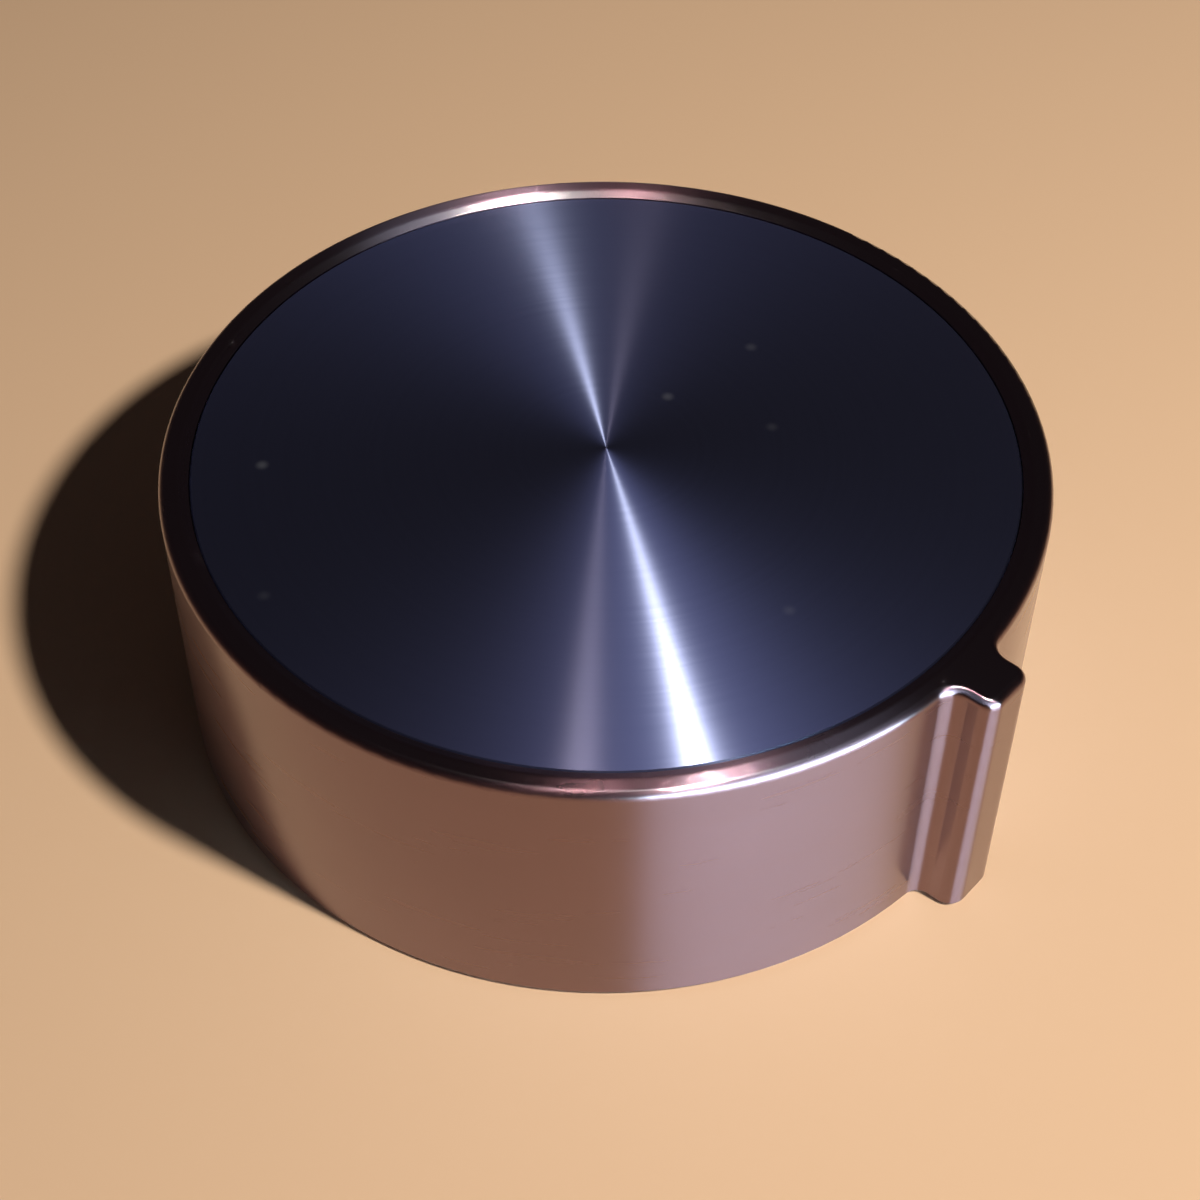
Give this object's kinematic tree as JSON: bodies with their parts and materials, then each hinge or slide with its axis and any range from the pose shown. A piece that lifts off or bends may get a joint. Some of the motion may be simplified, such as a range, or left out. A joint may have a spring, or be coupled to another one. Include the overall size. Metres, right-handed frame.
{
  "type": "oven control knob",
  "caption": "Round appliance control knob with a spun dark metal face, a polished metal-look wall with a pointer rib, and a D-shaft hub with a spring clip.",
  "frame": {"origin": "on the shaft's axis, in the plane of the base rim and of the hub's mouth", "axes": "+Z along the shaft's axis, out of the panel towards the user; -Y towards the pointer rib; the flat of the D socket faces +Y"},
  "size_m": [0.0452, 0.0474, 0.0155],
  "materials": {
    "plated_shell": "plated plastic moulding, polished with a slight satin",
    "spun_disc": "black anodised, spun with fine concentric lines",
    "adhesive": "die-cut double-sided adhesive sheet",
    "hub_plastic": "black glass-filled nylon, finely grained",
    "spring_steel": "stainless spring strip"
  },
  "bodies": {
    "root": {"outer_shell": "plated_shell", "top_disc": "spun_disc", "disc_adhesive": "adhesive", "hub_core": "hub_plastic", "shaft_spring": "spring_steel"}
  },
  "joints": []
}
